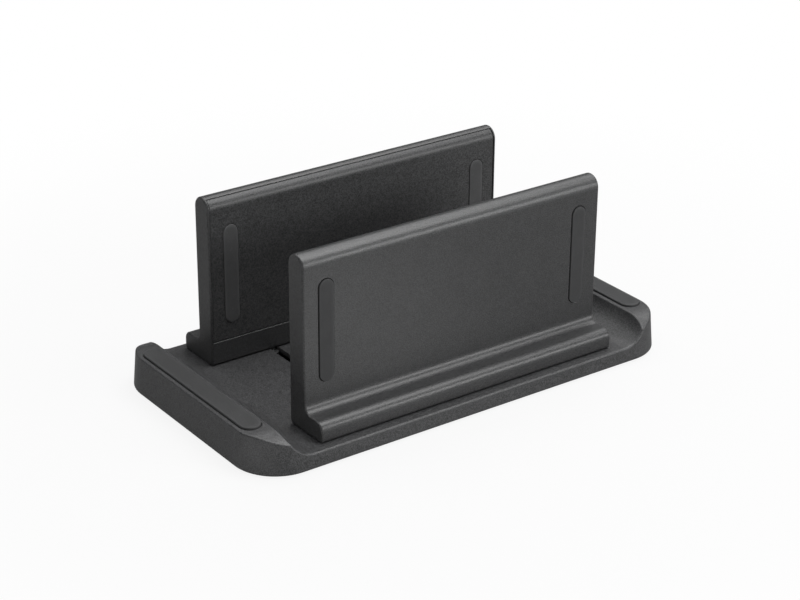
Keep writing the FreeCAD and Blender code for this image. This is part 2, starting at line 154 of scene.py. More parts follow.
def plain_share(name, description, default):
    """Property from 0 to 1, shown as a slider."""
    return FloatProperty(
        name=name, description=description, default=default, min=0.0, max=1.0, subtype="FACTOR",
    )


def plain_power(name, description, default):
    """Power of a light, shown in watts."""
    return FloatProperty(
        name=name, description=description, default=default, min=0.0, subtype="POWER", unit="POWER",
    )


class HolderColours(bpy.types.PropertyGroup):
    """Base colours of the holder's finishes."""

    tray: plain_colour("Tray", "Moulded plastic of the tray", (0.064, 0.0645, 0.0660))
    upright: plain_colour("Uprights", "Moulded plastic of the two uprights", (0.044, 0.0445, 0.0455))
    panel: plain_colour("Cover panels", "Moulded plastic of the inner covers", (0.060, 0.0605, 0.0615))
    rubber: plain_colour("Rubber", "Outer strips, bar pads and feet", (0.060, 0.0605, 0.0615))
    # Inner strips: the strip rubber painted lighter, as painted light in the bay's shade
    inner_rubber_painted_light: plain_colour("Inner strips", "Strips that face the bay", (0.088, 0.0885, 0.0900))
    coat: plain_colour("Bottom plate", "Powder coat of the steel bottom plate", (0.030, 0.0300, 0.0320))
    zinc: plain_colour("Fasteners", "Zinc plated screws, washers and clamp bars", (0.450, 0.4500, 0.4600))
    glide: plain_colour("Glides", "Slippery pads of the feet and the clamps", (0.060, 0.0600, 0.0620))


class HolderSurfaces(bpy.types.PropertyGroup):
    """Grain, edges lightened partly as wear and partly as painted highlight, and shine of the finishes."""

    grain_size: plain_length("Grain size", "Width of a grain of the texture", 0.00048, 0.0001, 0.005)
    grain_depth: plain_length("Grain depth", "Depth of the texture", 0.00006, 0.0, 0.001)
    patch_size: plain_length("Patch size", "Width of the slow changes of shade", 0.012, 0.001, 0.2)
    # The band along edges is lightened partly as wear and partly as a painted highlight
    edge_width: plain_length("Edge width", "Width of the rubbed band along edges", 0.0005, 0.0, 0.005)
    plastic_roughness: plain_share("Plastic roughness", "Roughness of the moulded plastic", 0.38)
    tray_gloss: plain_share("Tray gloss", "Strength of the tray's reflections", 0.50)
    upright_gloss: plain_share("Upright gloss", "Strength of the uprights' reflections", 0.68)
    panel_gloss: plain_share("Cover gloss", "Strength of the cover panels' reflections", 0.42)
    rubber_roughness: plain_share("Rubber roughness", "Roughness of the rubber", 0.60)
    rubber_gloss: plain_share("Rubber gloss", "Strength of the rubber's reflections", 0.15)


class HolderSizes(bpy.types.PropertyGroup):
    """Small sizes of the rubber pieces and the cover panels."""

    strip_round: plain_length("Strip edge", "Rounding of the strips' edges", 0.00028)
    strip_shoulder: plain_length("Strip shoulder", "Width over which a strip's face falls off", 0.0016)
    strip_fall: plain_length("Strip fall", "How far a strip's face falls at its edge", 0.00012)
    strip_inset: plain_length("Strip inset", "How far the outer strips stand in from their box", 0.00005)
    strip_shift: plain_length("Strip shift", "How far the outer strips sit to the right and down", 0.0002)
    pad_round: plain_length("Pad edge", "Rounding of the bar pads' edges", 0.00045)
    pad_shoulder: plain_length("Pad shoulder", "Width over which a bar pad's top falls off", 0.0020)
    pad_fall: plain_length("Pad fall", "How far a bar pad's top falls at its edge", 0.00020)
    foot_round: plain_length("Foot edge", "Rounding of the rubber feet's lower edge", 0.00030)
    upright_thickness: plain_length("Upright thickness", "Thickness of an upright's wall", 0.0113)
    panel_recess: plain_length("Panel recess", "Depth of a cover panel below the upright's face", 0.0003)
    panel_wall: plain_length("Panel wall", "Wall thickness of a cover panel", 0.00195)
    panel_round: plain_length("Panel edge", "Rounding of the cover panels' edges", 0.00018)
    seam_reach: plain_length("Seam reach", "How far a cover panel reaches on into the top seam", 0.00014)
    seat_depth: plain_length("Seat depth", "Depth of a strip's seat in its panel", 0.001)
    seat_gap: plain_length("Seat gap", "Gap round a strip in its panel", 0.00018)
    cap_steps: IntProperty(
        name="Round end steps", description="Faces round each half circle", default=32, min=6, max=128,
    )


class HolderStage(bpy.types.PropertyGroup):
    """Camera, lights and floor."""

    camera_place: FloatVectorProperty(
        name="Camera place", description="Where the camera stands", size=3, precision=5,
        default=(-0.525389, -0.726716, 0.451718), subtype="TRANSLATION", unit="LENGTH",
    )
    camera_heading: plain_angle("Heading", "Turn of the view from rearwards to the right", 35.913)
    camera_dip: plain_angle("Dip", "Angle of the view below the horizon", 25.043)
    camera_roll: plain_angle("Roll", "Turn of the picture about the line of sight", 0.409)
    camera_lens: FloatProperty(
        name="Lens", description="Focal length in millimetres", default=96.587, min=10.0,
    )
    top_power: plain_power("Top light", "Power of the high light in front", 9.0)
    over_power: plain_power("Overhead light", "Power of the high light at the right rear", 6.0)
    left_power: plain_power("Left light", "Power of the high light at the left rear", 4.8)
    low_power: plain_power("Low light", "Power of the low light in front", 4.4)
    side_power: plain_power("Side light", "Power of the low light at the left", 1.3)
    world_strength: FloatProperty(
        name="Surroundings", description="Strength of the light from all round", default=0.03, min=0.0,
    )
    floor_colour: plain_colour("Floor", "Colour of the pale floor", (0.66, 0.66, 0.66))
    floor_whiteness: plain_share("Floor whiteness", "Share of plain white beside the object", 0.88)
    # Brightness of the painted reflection of the near floor
    floor_dimness: plain_share("Floor dimness", "Brightness of the near floor in reflections", 0.30)
    floor_reach: plain_length("Floor reach", "Half width of the floor", 4.0, 1.0, 20.0)


# Shader nodes

def new_material(name):
    """Material with an empty shader; gives it, its node tree and its shader node."""
    material = bpy.data.materials.new(name)
    material.use_nodes = True
    return material, material.node_tree, material.node_tree.nodes["Principled BSDF"]


def feed(tree, socket, value):
    """Sets a socket to a number or a colour, or links another node's output to it."""
    if isinstance(value, bpy.types.NodeSocket):
        tree.links.new(value, socket)
    else:
        socket.default_value = value


def feed_all(tree, node, sockets):
    """Feeds a node's sockets, given by their names or numbers."""
    for key, value in sockets.items():
        feed(tree, node.inputs[key], value)


def add_node(tree, kind, sockets=None, **settings):
    """New node with its settings made and its sockets fed."""
    node = tree.nodes.new(kind)
    for key, value in settings.items():
        setattr(node, key, value)
    feed_all(tree, node, sockets or {})
    return node


def grain(tree, size, detail=2.0, squeeze=None):
    """Noise with features of a given size, in place on the object, drawn out where squeeze is under 1."""
    place = add_node(tree, "ShaderNodeTexCoord").outputs["Object"]
    if squeeze is not None:
        place = add_node(tree, "ShaderNodeMapping", {"Vector": place, "Scale": squeeze}).outputs["Vector"]
    sockets = {"Vector": place, "Scale": 1.0 / size, "Detail": detail}
    return add_node(tree, "ShaderNodeTexNoise", sockets).outputs["Fac"]


def calculate(tree, operation, first, second):
    """Result of a sum, product or the like of two values."""
    return add_node(tree, "ShaderNodeMath", {0: first, 1: second}, operation=operation).outputs["Value"]


def greatest(tree, values):
    """Largest of some outputs."""
    most = values[0]
    for value in values[1:]:
        most = calculate(tree, "MAXIMUM", most, value)
    return most


def between(tree, value, low, high, source=(0.0, 1.0), **settings):
    """Value carried from its source range to the range from low to high."""
    sockets = {"Value": value, "From Min": source[0], "From Max": source[1], "To Min": low, "To Max": high}
    return add_node(tree, "ShaderNodeMapRange", sockets, **settings).outputs["Result"]


def around(tree, value, middle, below, above, source):
    """Value carried from its source range to one that reaches below and above a middle."""
    return between(tree, value, middle - below, middle + above, source)


def mixed_colour(tree, factor, first, second):
    """Colour between two others."""
    node = add_node(tree, "ShaderNodeMix", {"Factor": factor}, data_type="RGBA")
    ends = [socket for socket in node.inputs if socket.type == "RGBA"]
    for socket, value in zip(ends, (first, second)):
        feed(tree, socket, value)
    return next(socket for socket in node.outputs if socket.type == "RGBA")


def shade(colour, share):
    """Colour made lighter or darker by a share, with full alpha."""
    return [min(part * share, 1.0) for part in colour] + [1.0]


def tones(tree, factor, colour, dark, light):
    """Colour that goes from a darker to a lighter share of itself."""
    return mixed_colour(tree, factor, shade(colour, dark), shade(colour, light))


def edge_band(tree, width):
    """Rounded normal near sharp edges, and a band from 0 on the flat to 1 on an edge."""
    rounded = add_node(tree, "ShaderNodeBevel", {"Radius": width}, samples=4).outputs["Normal"]
    true = add_node(tree, "ShaderNodeNewGeometry").outputs["Normal"]
    likeness = add_node(tree, "ShaderNodeVectorMath", {0: rounded, 1: true}, operation="DOT_PRODUCT")
    return rounded, between(tree, likeness.outputs["Value"], 1.0, 0.0, LIKENESS_RANGE)


def bumped(tree, height, depth, normal=None):
    """Normal of a surface with bumps of a given depth on it."""
    sockets = {"Height": height, "Strength": 1.0, "Distance": depth}
    if normal is not None:
        sockets["Normal"] = normal
    return add_node(tree, "ShaderNodeBump", sockets).outputs["Normal"]


# Finishes

def moulded_plastic(name, colour, surfaces, gloss, speckle, depth_share=1.0, wear_and_highlight=0.5):
    """Moulded plastic: fine sandblast grain, slow changes of shade, and edges made lighter and smoother.

    speckle is how far the grain's shades stray from the colour, depth_share is a share of the grain's
    depth, and wear_and_highlight is how far the edges are lightened, partly as rubbed wear and partly as a
    painted highlight.
    """
    material, tree, shader = new_material(name)
    fine = grain(tree, surfaces.grain_size, detail=1.0)
    coarse = grain(tree, surfaces.grain_size * COARSE_WIDTH, detail=1.0)
    patch = grain(tree, surfaces.patch_size, detail=3.0)
    pitted = calculate(tree, "ADD", calculate(tree, "MULTIPLY", coarse, COARSE_SHARE), fine)
    patches = between(tree, patch, -PATCH_SHADE, PATCH_SHADE, NOISE_RANGE)
    tone = calculate(tree, "ADD", between(tree, pitted, 0.0, 1.0, PIT_RANGE), patches)
    normal, band = edge_band(tree, surfaces.edge_width)
    # Edges painted lighter: partly rubbed wear, partly a painted highlight where light catches them
    worn_and_highlit = between(tree, band, 0.0, wear_and_highlight)
    body = tones(tree, tone, colour, dark=1.0 - speckle, light=1.0 + speckle)
    dull = around(tree, pitted, surfaces.plastic_roughness, below=0.06, above=0.08, source=PIT_RANGE)
    smoothing = calculate(tree, "MULTIPLY", worn_and_highlit, RUBBED_SMOOTHING)
    feed_all(tree, shader, {
        "Base Color": mixed_colour(tree, worn_and_highlit, body, shade(colour, EDGE_WEAR_AND_HIGHLIGHT_LIGHTNESS)),
        "Roughness": calculate(tree, "SUBTRACT", dull, smoothing),
        "Specular IOR Level": gloss,
        "Normal": bumped(tree, pitted, surfaces.grain_depth * depth_share, normal),
    })
    return material


def soft_rubber(name, colour, surfaces):
    """Smooth rubber: faint cloudiness, a few dusty specks, edges slightly paler, partly from handling and
    partly as a painted highlight.
    """
    material, tree, shader = new_material(name)
    cloud = grain(tree, surfaces.patch_size * 0.6, detail=3.0)
    fine = grain(tree, surfaces.grain_size * 0.7)
    dust = grain(tree, surfaces.grain_size * 1.8, detail=0.0)
    clouded = between(tree, cloud, 0.1, 0.5, NOISE_RANGE)
    tone = calculate(tree, "ADD", clouded, between(tree, fine, 0.0, 0.4, NOISE_RANGE))
    body = tones(tree, tone, colour, dark=0.86, light=1.14)
    # Marked edges are painted paler: partly handling wear, partly a painted highlight on the rounded edge
    edge = add_node(tree, "ShaderNodeAttribute", attribute_name=EDGE_MARK).outputs["Fac"]
    marks = [edge, between(tree, dust, 0.0, 1.0, DUST_RANGE)]
    paler = greatest(tree, [calculate(tree, "MULTIPLY", mark, RUBBER_PALING) for mark in marks])
    dull = around(tree, cloud, surfaces.rubber_roughness, below=0.04, above=0.06, source=NOISE_RANGE)
    feed_all(tree, shader, {
        "Base Color": mixed_colour(tree, paler, body, shade(colour, 1.8)),
        "Roughness": dull,
        "Specular IOR Level": surfaces.rubber_gloss,
        "Normal": bumped(tree, fine, surfaces.grain_depth * 0.35),
    })
    return material


def powder_coat(name, colour, surfaces):
    """Powder coated steel: soft orange peel with fine dark pits, and rubbed edges."""
    material, tree, shader = new_material(name)
    peel = grain(tree, surfaces.grain_size * 2.0, detail=1.0)
    fine = grain(tree, surfaces.grain_size * 0.6)
    normal, band = edge_band(tree, surfaces.edge_width)
    body = tones(tree, fine, colour, dark=0.7, light=1.3)
    worn_and_highlit = between(tree, band, 0.0, 0.4)
    height = calculate(tree, "ADD", peel, calculate(tree, "MULTIPLY", fine, 0.3))
    feed_all(tree, shader, {
        "Base Color": mixed_colour(tree, worn_and_highlit, body, shade(colour, EDGE_WEAR_AND_HIGHLIGHT_LIGHTNESS)),
        "Roughness": between(tree, peel, 0.36, 0.52, NOISE_RANGE),
        "Normal": bumped(tree, height, surfaces.grain_depth * 1.6, normal),
    })
    return material


def zinc_plate(name, colour, surfaces):
    """Zinc plated steel: bright metal with cloudy passivation, and rubbed edges."""
    material, tree, shader = new_material(name)
    cloud = grain(tree, surfaces.patch_size * 0.25, detail=3.0)
    fine = grain(tree, surfaces.grain_size * 0.4)
    normal, band = edge_band(tree, surfaces.edge_width * 0.5)
    body = tones(tree, cloud, colour, dark=0.75, light=1.2)
    worn_and_highlit = between(tree, band, 0.0, 0.6)
    feed_all(tree, shader, {
        "Base Color": mixed_colour(tree, worn_and_highlit, body, shade(colour, 1.5)),
        "Metallic": 1.0,
        "Roughness": between(tree, cloud, 0.24, 0.42, NOISE_RANGE),
        "Normal": bumped(tree, fine, surfaces.grain_depth * 0.3, normal),
    })
    return material


def slippery_plastic(name, colour, surfaces):
    """Waxy glide plastic: smooth and slightly cloudy, with fine rub marks along the slide."""
    material, tree, shader = new_material(name)
    rub = grain(tree, RUB_WIDTH, squeeze=RUB_SQUEEZE)
    cloud = grain(tree, surfaces.patch_size * 0.4)
    feed_all(tree, shader, {
        "Base Color": tones(tree, cloud, colour, dark=0.85, light=1.15),
        "Roughness": between(tree, rub, 0.28, 0.44, NOISE_RANGE),
        "Normal": bumped(tree, rub, surfaces.grain_depth * 0.2),
    })
    return material


# Nodes of the frame

def nodes_of(slot):
    """Nodes whose material slot in the record has this name."""
    return [part["node"] for part in frame["record"]["subparts"] if part["material_slot"] == slot]


def body_of(node):
    """Name of the body that a node belongs to."""
    bodies = frame["record"]["behaviour"]["bodies"]
    return next(body for body, nodes in bodies.items() if node in nodes)


def dress(names, material):
    """Gives CAD nodes their material, or stops where there are none."""
    if not names:
        raise RuntimeError("no nodes to finish with " + material.name)
    for name in names:
        slots = frame["nodes"][name].data.materials
        slots.clear()
        slots.append(material)


def add_piece(name, mesh, material, node):
    """Object for a new mesh, which rides and stands where its CAD node does."""
    mesh.materials.append(material)
    piece = bpy.data.objects.new(name, mesh)
    bpy.context.scene.collection.objects.link(piece)
    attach(piece, body_of(node))
    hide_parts(node)
    return piece


def finished_mesh(name, points, faces, edge, sharp_angle):
    """Closed mesh from points and faces: doubles merged, faces outwards, edge kept as an attribute."""
    mesh = bpy.data.meshes.new(name)
    mesh.from_pydata(points.reshape(-1, 3), [], faces)
    marks = mesh.attributes.new(EDGE_MARK, "FLOAT", "POINT")
    marks.data.foreach_set("value", edge.astype(np.float32).ravel())
    shape = bmesh.new()
    shape.from_mesh(mesh)
    bmesh.ops.remove_doubles(shape, verts=shape.verts, dist=MERGE_DISTANCE)
    bmesh.ops.recalc_face_normals(shape, faces=shape.faces)
    if any(not side.is_manifold for side in shape.edges):
        raise RuntimeError(name + " is not closed")
    shape.to_mesh(mesh)
    shape.free()
    mesh.shade_smooth()
    mesh.set_sharp_from_angle(angle=sharp_angle)
    return mesh


# Rubber pieces

def domed_profile(half_width, height, edge_round, shoulder, fall):
    """Half section of a rubber piece, from the middle of its bottom round to the middle of its top.

    Out is the distance from the middle line. The bottom is level, with a small chamfer up to the upright
    side, and the edge is an arc of edge_round. Over the shoulder inside the arc the top rises by fall, as a
    parabola that meets the arc and the level middle without a kink. Edge is faint low on the side, 1 on the
    arc, and fades to 0 over the shoulder.
    """
    chamfer = edge_round / 3
    tilt = math.atan2(2.0 * fall, shoulder)
    join = half_width - edge_round * (1.0 - math.sin(tilt))
    turn = np.linspace(math.pi / 2, tilt, PROFILE_STEPS)
    arc_out = join + edge_round * (np.sin(turn) - math.sin(tilt))
    arc_up = height - fall - edge_round * (math.cos(tilt) - np.cos(turn))
    share = np.linspace(1.0, 0.0, PROFILE_STEPS)[1:]
    slope_out = join - shoulder * (1.0 - share)
    slope_up = height - fall * share ** 2
    level_out = np.linspace(join - shoulder, 0.0, LEVEL_STEPS + 1)[1:]
    out = np.concatenate([[0.0, half_width - chamfer, half_width], arc_out, slope_out, level_out])
    up = np.concatenate([[0.0, 0.0, chamfer], arc_up, slope_up, np.full(LEVEL_STEPS, height)])
    low_edge = [0.0, 0.0, FAINT_MARK]
    edge = np.concatenate([low_edge, np.ones(PROFILE_STEPS), share ** 2, np.zeros(LEVEL_STEPS)])
    return out, up, edge


def stadium_rings(half_straight, out, cap_steps, straight_steps):
    """Points round a stadium at each distance out from its middle line.

    Going round, a point of the middle line runs along one side, stays at the end while the outward
    direction turns through half a circle, runs back and turns again. Each ring is middle point plus out
    times direction. Returns along and across, one row for each distance out.
    """
    run = np.linspace(-half_straight, half_straight, straight_steps + 1)[:-1]
    turn = np.linspace(0.0, math.pi, cap_steps + 1)[:-1]
    steady = np.full(cap_steps, half_straight)
    middle = np.concatenate([run, steady, -run, -steady])
    angle = np.concatenate([np.zeros(run.size), turn, np.full(run.size, math.pi), math.pi + turn])
    along = middle + out[:, None] * np.sin(angle)
    across = -out[:, None] * np.cos(angle)
    return along, across


def grid_faces(rows, columns):
    """Quads of a grid of rows by columns whose columns close on themselves."""
    index = np.arange(rows * columns).reshape(rows, columns)
    ahead = np.roll(index, -1, axis=1)
    return np.stack([index[:-1], ahead[:-1], ahead[1:], index[1:]], axis=-1).reshape(-1, 4)


def rubber_piece(
    node, material, axes, faces, profile_sizes, cap_steps, straight_steps=STRIP_STEPS, inset=0.0, shift=0.0,
):
    """Rubber piece in its node's box: a domed half section carried round a stadium.

    axes are the world axes along the stadium, across it and through its thickness, and faces is the way the
    domed side points along the last one. inset brings the sides in from the box all round, and shift moves
    the piece back along the stadium and as far on across it.
    """
    low, high = (np.array(corner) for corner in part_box(node))
    along, across, through = axes
    middle, half = (low + high) / 2, (high - low) / 2
    seat = middle[through] - faces * half[through]
    out, up, edge = domed_profile(half[across] - inset, 2 * half[through], *profile_sizes)
    rows, columns = stadium_rings(half[along] - half[across], out, cap_steps, straight_steps)
    points = np.empty(rows.shape + (3,))
    points[..., along] = middle[along] + rows - shift
    points[..., across] = middle[across] + columns + shift
    points[..., through] = seat + faces * up[:, None]
    marks = np.repeat(edge[:, None], rows.shape[1], axis=1)
    mesh = finished_mesh(node + "_shape", points, grid_faces(*rows.shape), marks, RUBBER_SHARP_ANGLE)
    add_piece("soft_" + node, mesh, material, node)


# Cover panels

def panel_section(sizes, low, top_centre, seam_turn):
    """Closed cross-section of a cover panel, as depth from the upright's inner face and height.

    The outside runs up the flat face and on round the half circle of the upright's top, less the recess, to
    the seam past the top. The inside comes back at one wall thickness. Its first two points bound the flat
    face.
    """
    centre = sizes.upright_thickness / 2
    inner_depth = sizes.panel_recess + sizes.panel_wall
    turn = np.linspace(math.pi / 2, seam_turn, sizes.cap_steps)
    parts = [np.array([[sizes.panel_recess, low]])]
    for depth, angles in ((sizes.panel_recess, turn), (inner_depth, turn[::-1])):
        radius = centre - depth
        arc = (centre - radius * np.sin(angles), top_centre + radius * np.cos(angles))
        parts.append(np.stack(arc, axis=-1))
    parts.append(np.array([[inner_depth, low]]))
    return np.concatenate(parts)


def seat_outline(centre, low, high, radius, steps):
    """Upright stadium as X and height, from its lowest point up its right side and down its left.

    On each side a quarter circle about the lower centre runs out, and one about the upper centre runs back
    in.
    """
    turn = np.linspace(0.0, math.pi / 2, steps)
    out = radius * np.concatenate([np.sin(turn), np.cos(turn)])
    up = np.concatenate([low + radius * (1.0 - np.cos(turn)), high - radius * (1.0 - np.sin(turn))])
    right = np.stack([centre + out, up], axis=-1)
    left = np.stack([centre - out, up], axis=-1)
    return np.concatenate([right, left[-2:0:-1]])


def panel_surface(sizes, section, half_length, seats):
    """Cover panel: its section carried along X, with a stadium shaped seat for each strip in the flat face.

    The section is repeated at both ends and on each seat's centre line. Quads join the repeats everywhere
    but on the flat face, where one polygon joins each two, with half a seat's outline in each side that
    lies on a seat. Returns points, as X, depth from the upright's inner face and height, and faces.
    """
    stations = np.array([-half_length] + [centre for centre, *_ in seats] + [half_length])
    count, columns = len(section), len(stations)
    grid = np.empty((count, columns, 3))
    grid[..., X] = stations
    grid[..., Y:] = section[:, None]
    index = np.arange(count * columns).reshape(count, columns)
    following = np.roll(index, -1, axis=0)
    quads = np.stack([index[:, :-1], index[:, 1:], following[:, 1:], following[:, :-1]], axis=-1)
    faces = quads[1:].reshape(-1, 4).tolist() + [index[:, 0].tolist(), index[::-1, -1].tolist()]
    points, used = [grid.reshape(-1, 3)], count * columns
    lefts_up, rights_down = [], [[]]
    for seat in seats:
        outline = seat_outline(*seat, sizes.cap_steps)
        for depth in (sizes.panel_recess, sizes.panel_recess + sizes.seat_depth):
            points.append(np.insert(outline, 1, depth, axis=1))
        mouth = used + np.arange(len(outline))
        floor = mouth + len(outline)
        used += 2 * len(outline)
        walls = np.stack([mouth, np.roll(mouth, -1), np.roll(floor, -1), floor], axis=-1)
        faces += walls.tolist() + [floor.tolist()]
        ring, highest = mouth.tolist(), len(outline) // 2
        lefts_up.append(ring[:1] + ring[highest:][::-1])
        rights_down.append(ring[highest::-1])
    lefts_up.append([])
    low_row, high_row = index[0].tolist(), index[1].tolist()
    for start, (left_up, right_down) in enumerate(zip(lefts_up, rights_down)):
        bottom = low_row[start:start + 2]
        top = high_row[start:start + 2]
        faces.append(bottom + left_up + top[::-1] + right_down)
    return np.concatenate(points), faces


def cover_panel(upright, outwards, sizes, material):
    """Cover panel of one upright, made to its node's box and its strips' boxes, with softened edges."""
    node = upright + "_inner_panel"
    low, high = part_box(node)
    top_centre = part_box(upright + "_upright_shell")[1].z - sizes.upright_thickness / 2
    radius = sizes.upright_thickness / 2 - sizes.panel_recess
    seam_turn = math.acos(min(1.0, (high.z - top_centre) / radius)) - sizes.seam_reach / radius
    inner_face = (low.y if outwards > 0 else high.y) - outwards * sizes.panel_recess
    seats = []
    for side in SIDES:
        strip_low, strip_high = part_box(f"{upright}_inner_strip_{side}")
        centre = (strip_high.x + strip_low.x) / 2
        reach = (strip_high.x - strip_low.x) / 2 + sizes.seat_gap
        seats.append((centre, strip_low.z - sizes.seat_gap, strip_high.z + sizes.seat_gap, reach))
    section = panel_section(sizes, low.z, top_centre, seam_turn)
    points, faces = panel_surface(sizes, section, high.x, sorted(seats))
    points[:, Y] = inner_face + outwards * points[:, Y]
    mesh = finished_mesh(node + "_shape", points, faces, np.zeros(len(points)), PANEL_SHARP_ANGLE)
    piece = add_piece("cover_" + node, mesh, material, node)
    softened = piece.modifiers.new("softened edges", "BEVEL")
    softened.width = sizes.panel_round
    softened.segments = BEVEL_SEGMENTS
    softened.limit_method = "ANGLE"
    softened.angle_limit = BEVEL_ANGLE
    softened.harden_normals = True


# Stage

def aim_camera(stage):
    """Camera turned from rearwards to the right, dipped below the horizon and rolled about its own line."""
    heading, dip, roll = stage.camera_heading, stage.camera_dip, stage.camera_roll
    ahead = Vector((math.sin(heading) * math.cos(dip), math.cos(heading) * math.cos(dip), -math.sin(dip)))
    level = Vector((math.cos(heading), -math.sin(heading), 0.0))
    upright = level.cross(ahead)
    right = math.cos(roll) * level + math.sin(roll) * upright
    up = math.cos(roll) * upright - math.sin(roll) * level
    camera = bpy.data.objects.new("camera", bpy.data.cameras.new("camera"))
    camera.data.sensor_width = 36.0
    camera.data.lens = stage.camera_lens
    camera.data.clip_start = 0.01
    turned = Matrix((right, up, -ahead)).transposed().to_4x4()
    camera.matrix_world = Matrix.Translation(stage.camera_place) @ turned
    bpy.context.scene.collection.objects.link(camera)
    bpy.context.scene.camera = camera


def add_softbox(name, direction, width, height, power):
    """Rectangular light that stands off in a direction and faces the object's middle."""
    light = bpy.data.lights.new(name, "AREA")
    light.shape = "RECTANGLE"
    light.size = width
    light.size_y = height
    light.energy = power
    softbox = bpy.data.objects.new(name, light)
    towards = Vector(direction).normalized()
    softbox.location = towards * LIGHT_DISTANCE + LIGHT_TARGET
    softbox.rotation_euler = towards.to_track_quat("Z", "Y").to_euler()
    bpy.context.scene.collection.objects.link(softbox)


def rays_of(tree, kinds):
    """1 for rays of the given kinds, such as camera rays, and 0 for the rest."""
    path = add_node(tree, "ShaderNodeLightPath")
    return greatest(tree, [path.outputs[kind] for kind in kinds])


def across_ring(tree, place, ring, inside, outside):
    """Value that goes smoothly from inside to outside across a ring on the floor."""
    centre, inner, outer = ring
    offset = add_node(tree, "ShaderNodeVectorMath", {0: place, 1: centre}, operation="SUBTRACT")
    distance = add_node(tree, "ShaderNodeVectorMath", {0: offset.outputs["Vector"]}, operation="LENGTH")
    reach = distance.outputs["Value"]
    return between(tree, reach, inside, outside, (inner, outer), interpolation_type="SMOOTHSTEP")


def floor_paper(stage):
    """Finish of the floor, which is paper mixed with plain white.

    The camera sees a share of the paper near the object, for the shadow on it, and plain white farther out.
    Reflections see neither: they see a painted reflection, dim near the object and white far away, with two
    bright pools that paint highlights on the front upright's outer face near its left end and on the tray's
    front left corner. Light that falls on the floor meets the paper alone.
    """
    material, tree, shader = new_material("floor_paper")
    mottled = grain(tree, MOTTLE_SIZE)
    feed_all(tree, shader, {
        "Base Color": tones(tree, mottled, stage.floor_colour, dark=0.99, light=1.01),
        "Roughness": PAPER_ROUGHNESS,
    })
    place = add_node(tree, "ShaderNodeTexCoord").outputs["Object"]
    whiteness = across_ring(tree, place, SHADOW_RING, stage.floor_whiteness, 1.0)
    # Painted reflection: reflections see this glow, dim near the object, white far off and bright in two
    # painted pools
    painted_reflection = greatest(tree, [
        across_ring(tree, place, FAR_RING, stage.floor_dimness, 1.0),
        across_ring(tree, place, FRONT_PAINTED_POOL, 1.0, stage.floor_dimness),
        across_ring(tree, place, CORNER_PAINTED_POOL, 1.0, stage.floor_dimness),
    ])
    seen = rays_of(tree, SEEN_RAYS)
    mirrored = rays_of(tree, MIRRORED_RAYS)
    strength = calculate(tree, "MAXIMUM", seen, calculate(tree, "MULTIPLY", mirrored, painted_reflection))
    white = add_node(tree, "ShaderNodeEmission", {"Color": WHITE, "Strength": strength})
    shown = calculate(tree, "MAXIMUM", calculate(tree, "MULTIPLY", seen, whiteness), mirrored)
    mix = add_node(tree, "ShaderNodeMixShader", {0: shown, 1: shader.outputs[0], 2: white.outputs[0]})
    feed(tree, tree.nodes["Material Output"].inputs["Surface"], mix.outputs[0])
    return material


def pale_floor(stage):
    """Wide pale floor that looks nearly white, keeps the shadow and glows in reflections as a painted
    reflection.
    """
    reach = stage.floor_reach
    corners = [(-reach, -reach, 0.0), (reach, -reach, 0.0), (reach, reach, 0.0), (-reach, reach, 0.0)]
    mesh = bpy.data.meshes.new("floor")
    mesh.from_pydata(corners, [], [(0, 1, 2, 3)])
    mesh.materials.append(floor_paper(stage))
    floor = bpy.data.objects.new("floor", mesh)
    bpy.context.scene.collection.objects.link(floor)


def studio_world(strength):
    """Even light from all round, which the camera sees as white."""
    world = bpy.data.worlds.new("studio")
    world.use_nodes = True
    bpy.context.scene.world = world
    tree = world.node_tree
    brightness = between(tree, rays_of(tree, SEEN_RAYS), strength, 1.0)
    feed_all(tree, tree.nodes["Background"], {"Color": WHITE, "Strength": brightness})


# Operators

class HOLDER_OT_tray(bpy.types.Operator):
    """Finish the moulded tray"""

    bl_idname = "holder.tray"
    bl_label = "Tray"

    def execute(self, context):
        colours, surfaces = context.scene.holder_colours, context.scene.holder_surfaces
        material = moulded_plastic(
            "tray_moulding", colours.tray, surfaces, surfaces.tray_gloss, speckle=0.58,
        )
        dress(nodes_of("tray_plastic"), material)
        return {"FINISHED"}


class HOLDER_OT_uprights(bpy.types.Operator):
    """Finish the shells of both uprights"""

    bl_idname = "holder.uprights"
    bl_label = "Uprights"

    def execute(self, context):
        colours, surfaces = context.scene.holder_colours, context.scene.holder_surfaces
        # Full edge lightening on the uprights: wear and a painted highlight along their edges
        material = moulded_plastic(
            "upright_moulding", colours.upright, surfaces, surfaces.upright_gloss, speckle=0.60, wear_and_highlight=1.0,
        )
        dress(nodes_of("upright_plastic"), material)
        return {"FINISHED"}


class HOLDER_OT_panels(bpy.types.Operator):
    """Make the cover panels on the uprights' inner sides"""

    bl_idname = "holder.panels"
    bl_label = "Cover panels"

    def execute(self, context):
        colours, surfaces = context.scene.holder_colours, context.scene.holder_surfaces
        # Full edge lightening on the cover panels: wear and a painted highlight along their edges and seams
        material = moulded_plastic(
            "panel_moulding", colours.panel, surfaces, surfaces.panel_gloss,
            speckle=0.50, depth_share=0.8, wear_and_highlight=1.0,
        )
        for upright, outwards in UPRIGHTS.items():
            cover_panel(upright, outwards, context.scene.holder_sizes, material)
        return {"FINISHED"}


